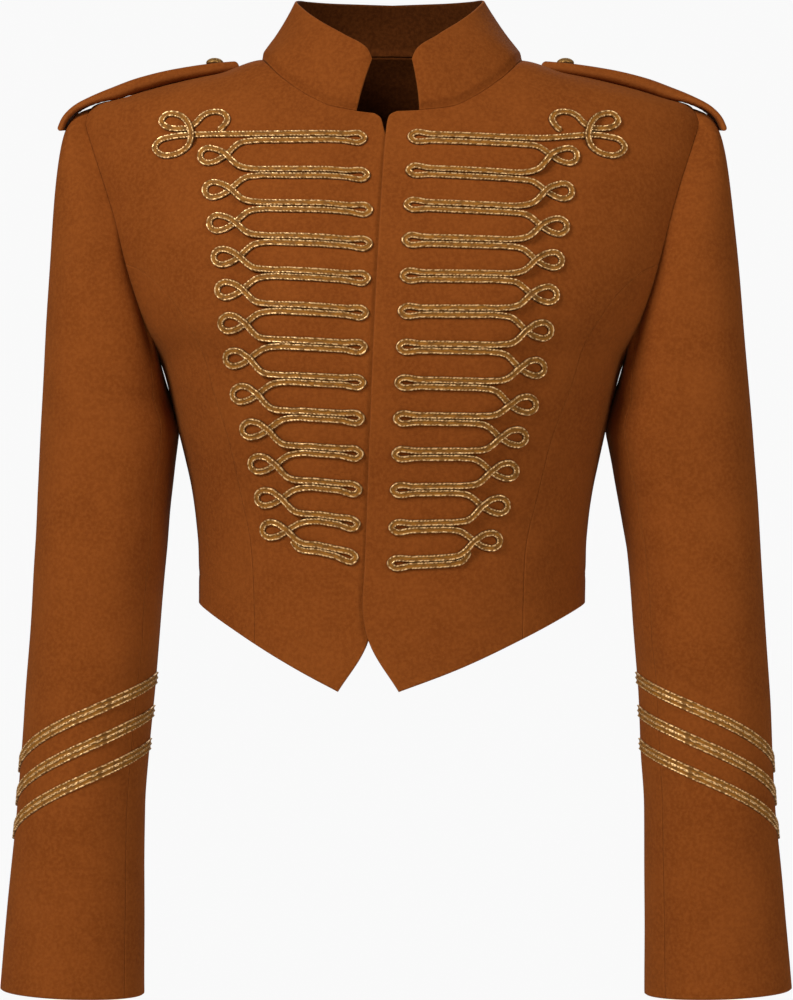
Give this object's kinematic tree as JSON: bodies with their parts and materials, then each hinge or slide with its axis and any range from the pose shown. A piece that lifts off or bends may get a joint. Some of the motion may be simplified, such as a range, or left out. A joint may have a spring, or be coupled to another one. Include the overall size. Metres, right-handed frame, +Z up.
{
  "type": "cropped jacket",
  "caption": "Cropped stand-collar jacket, filled out and hollow, with braided fronts, braided cuffs, shoulder straps and a pointed front hem.",
  "frame": {"origin": "in the middle of the neck, between the points where the neck seam meets the shoulder line", "axes": "+Z up, the jacket faces -Y, +X towards the viewer's right, the wearer's left"},
  "size_m": [0.5478, 0.2288, 0.6944],
  "materials": {
    "wool": "felted tan-brown wool with a short nap",
    "gold_braid": "twisted metallic gold braid",
    "brass": "domed and textured"
  },
  "bodies": {
    "root": {"back": "wool", "collar": "wool", "front_right": "wool", "side_front_right": "wool", "sleeve_upper_right": "wool", "sleeve_under_right": "wool", "epaulette_right": "wool", "front_left": "wool", "side_front_left": "wool", "sleeve_upper_left": "wool", "sleeve_under_left": "wool", "epaulette_left": "wool", "braid_right": "gold_braid", "braid_left": "gold_braid", "cuff_braid_right_1": "gold_braid", "cuff_braid_right_2": "gold_braid", "cuff_braid_right_3": "gold_braid", "cuff_braid_left_1": "gold_braid", "cuff_braid_left_2": "gold_braid", "cuff_braid_left_3": "gold_braid", "button_right": "brass", "button_left": "brass"}
  },
  "joints": []
}
